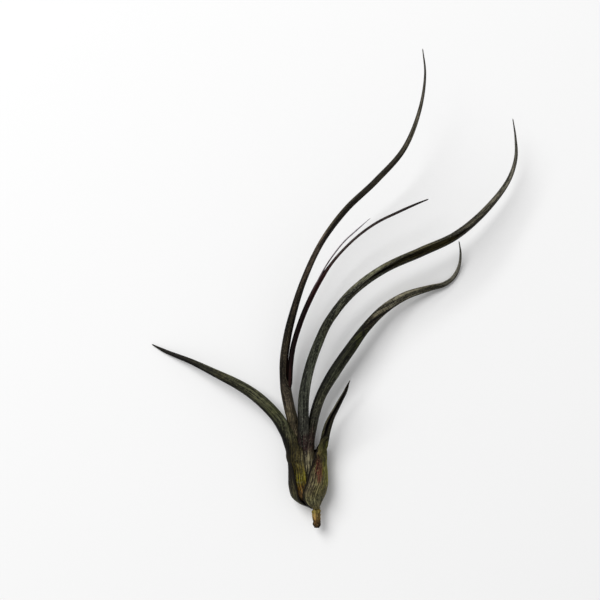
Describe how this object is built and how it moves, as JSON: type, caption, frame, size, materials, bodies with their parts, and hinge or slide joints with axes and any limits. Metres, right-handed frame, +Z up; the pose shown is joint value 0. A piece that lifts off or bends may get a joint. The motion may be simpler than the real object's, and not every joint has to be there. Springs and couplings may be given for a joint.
{
  "type": "tillandsia air plant",
  "caption": "Small bulbous air plant lying as picked: a swollen bulb of clasping leaf sheaths from which slender rolled leaves fan out, curve and taper to points.",
  "frame": {"origin": "middle of the flat spot under the bulb, on which the plant rests", "axes": "+Z up, out of the table; +Y from the bare foot through the bulb towards the leaf tips, the longest way; +X to the right of someone who looks down at the plant with its leaves away from them"},
  "size_m": [0.1608, 0.2052, 0.0373],
  "materials": {
    "stem": "rough, dry, tan green",
    "leaf_thread": "matte violet grey",
    "leaf_wine": "satin dark maroon",
    "leaf_long": "matte blue-grey green with a scurf of fine scales",
    "leaf_tall": "matte brownish grey with a scurf of fine scales",
    "leaf_hooked": "matte olive green with a scurf of fine scales",
    "leaf_left": "matte olive green with a scurf of fine scales",
    "leaf_short": "matte yellow-green and purple-red with a scurf of fine scales"
  },
  "bodies": {
    "root": {"stem": "stem", "leaf_thread": "leaf_thread", "leaf_wine": "leaf_wine", "leaf_long": "leaf_long", "leaf_tall": "leaf_tall", "leaf_hooked": "leaf_hooked", "leaf_left": "leaf_left", "leaf_short": "leaf_short"}
  },
  "joints": []
}
